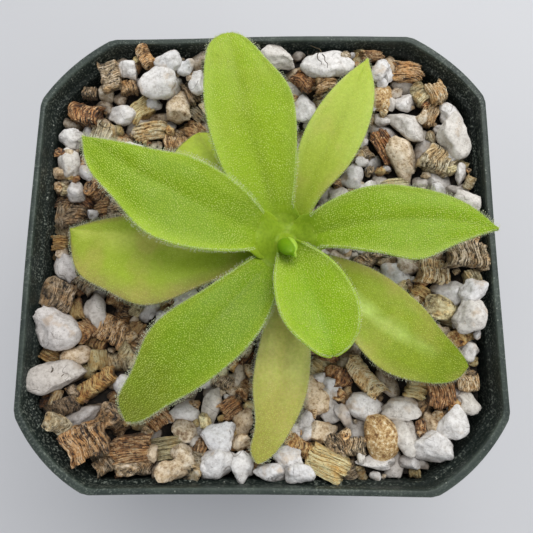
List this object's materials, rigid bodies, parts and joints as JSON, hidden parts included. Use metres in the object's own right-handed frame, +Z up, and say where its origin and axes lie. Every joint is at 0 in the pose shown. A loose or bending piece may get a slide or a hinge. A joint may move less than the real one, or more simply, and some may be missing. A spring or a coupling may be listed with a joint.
{
  "type": "potted butterwort",
  "caption": "Low rosette of glossy, cupped green leaves round a rolled bud, growing in perlite and vermiculite in a square tapered plastic pot with cut corners.",
  "frame": {"origin": "middle of the pot's foot, on the surface that the pot stands on", "axes": "+Z up; +Y across the pot towards the leaf that points to the back; +X to the right of that"},
  "size_m": [0.0858, 0.0858, 0.0909],
  "materials": {
    "pot": "dark grey-green moulded plastic, satin",
    "potting_mix": "matt white perlite and gold to brown vermiculite",
    "crown": "pale green plant stem, satin",
    "bud": "rolled young leaf, smooth and slightly glossy",
    "leaf_front": "young cupped leaf, moist satin green",
    "leaf_upper_left": "leaf, moist satin green",
    "leaf_right": "leaf, moist satin green",
    "leaf_lower_left": "leaf, moist satin green",
    "leaf_back": "leaf, moist satin green",
    "leaf_lower_right": "leaf, moist satin green",
    "leaf_left": "leaf, moist satin green",
    "leaf_upper_right": "leaf, moist satin green",
    "leaf_bottom": "old leaf, moist satin green",
    "leaf_hidden": "leaf, moist satin green"
  },
  "bodies": {
    "root": {"pot": "pot", "potting_mix": "potting_mix", "crown": "crown", "bud": "bud", "leaf_front": "leaf_front", "leaf_upper_left": "leaf_upper_left", "leaf_right": "leaf_right", "leaf_lower_left": "leaf_lower_left", "leaf_back": "leaf_back", "leaf_lower_right": "leaf_lower_right", "leaf_left": "leaf_left", "leaf_upper_right": "leaf_upper_right", "leaf_bottom": "leaf_bottom", "leaf_hidden": "leaf_hidden"}
  },
  "joints": []
}
